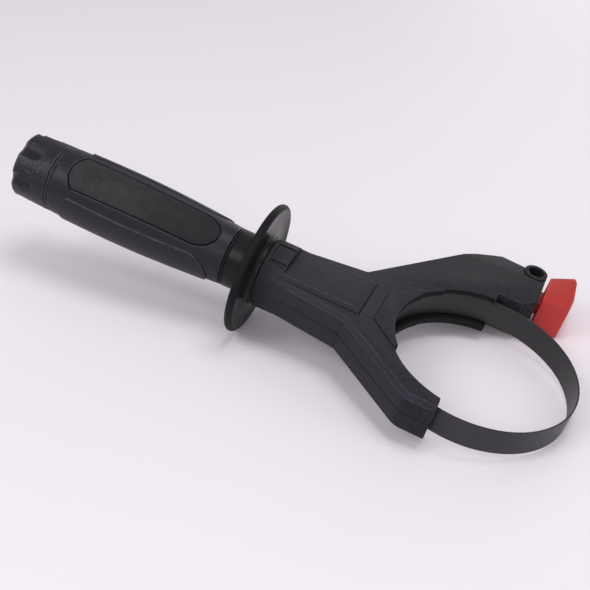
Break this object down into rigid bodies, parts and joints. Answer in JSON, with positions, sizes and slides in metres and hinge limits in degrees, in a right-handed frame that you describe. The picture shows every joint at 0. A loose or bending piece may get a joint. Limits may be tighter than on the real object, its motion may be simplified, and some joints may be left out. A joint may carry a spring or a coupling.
{
  "type": "power tool side handle",
  "caption": "Strap-clamp side handle: padded grip with turning end knob, hand guard, forked saddle, steel strap loop and depth-rod release button.",
  "frame": {"origin": "centre of the clamp loop, at mid-height of the strap", "axes": "X along the handle, grip towards -X; +Z along the loop's axis, away from the shell screws; +Y towards the arm with the depth-rod hole and button"},
  "size_m": [0.3069, 0.154, 0.0704],
  "materials": {
    "fork": "fine-grained charcoal moulding",
    "grip": "satin charcoal moulding",
    "guard": "glossy black, dusty",
    "inlay": "matte rubber",
    "strap": "satin black steel, bright edges",
    "steel": "zinc-plated",
    "button": "satin red moulding"
  },
  "bodies": {
    "handle": {"fork_upper_shell": "fork", "fork_lower_shell": "fork", "shell_screws": "steel", "grip_core": "grip", "hand_guard": "guard", "grip_sleeve": "grip", "grip_inlay_top": "inlay", "grip_inlay_bottom": "inlay", "thrust_washer": "steel", "button_spring": "steel"},
    "knob": {"end_knob": "grip", "knob_nut": "steel"},
    "clamp": {"strap": "strap", "strap_anchor": "steel", "anchor_rivets": "steel", "tension_rod": "steel"},
    "button": {"release_button": "button"}
  },
  "joints": [
    {"name": "knob_turn", "type": "hinge", "parent": "handle", "child": "knob", "pos_m": [-0.245, 0, 0], "axis": [1, 0, 0], "range_deg": [0, 720]},
    {"name": "strap_draw", "type": "slide", "parent": "handle", "child": "clamp", "axis": [-1, 0, 0], "range_m": [0, 0.0025]},
    {"name": "button_press", "type": "slide", "parent": "handle", "child": "button", "axis": [-1, 0, 0], "range_m": [0, 0.0016], "stiffness_N_per_m": 600, "springref_m": -0.003, "deforming": ["button_spring"]}
  ],
  "couplings": [
    {"joint": "knob_turn", "follows": "strap_draw", "rad_per_m": 5026.5}
  ]
}
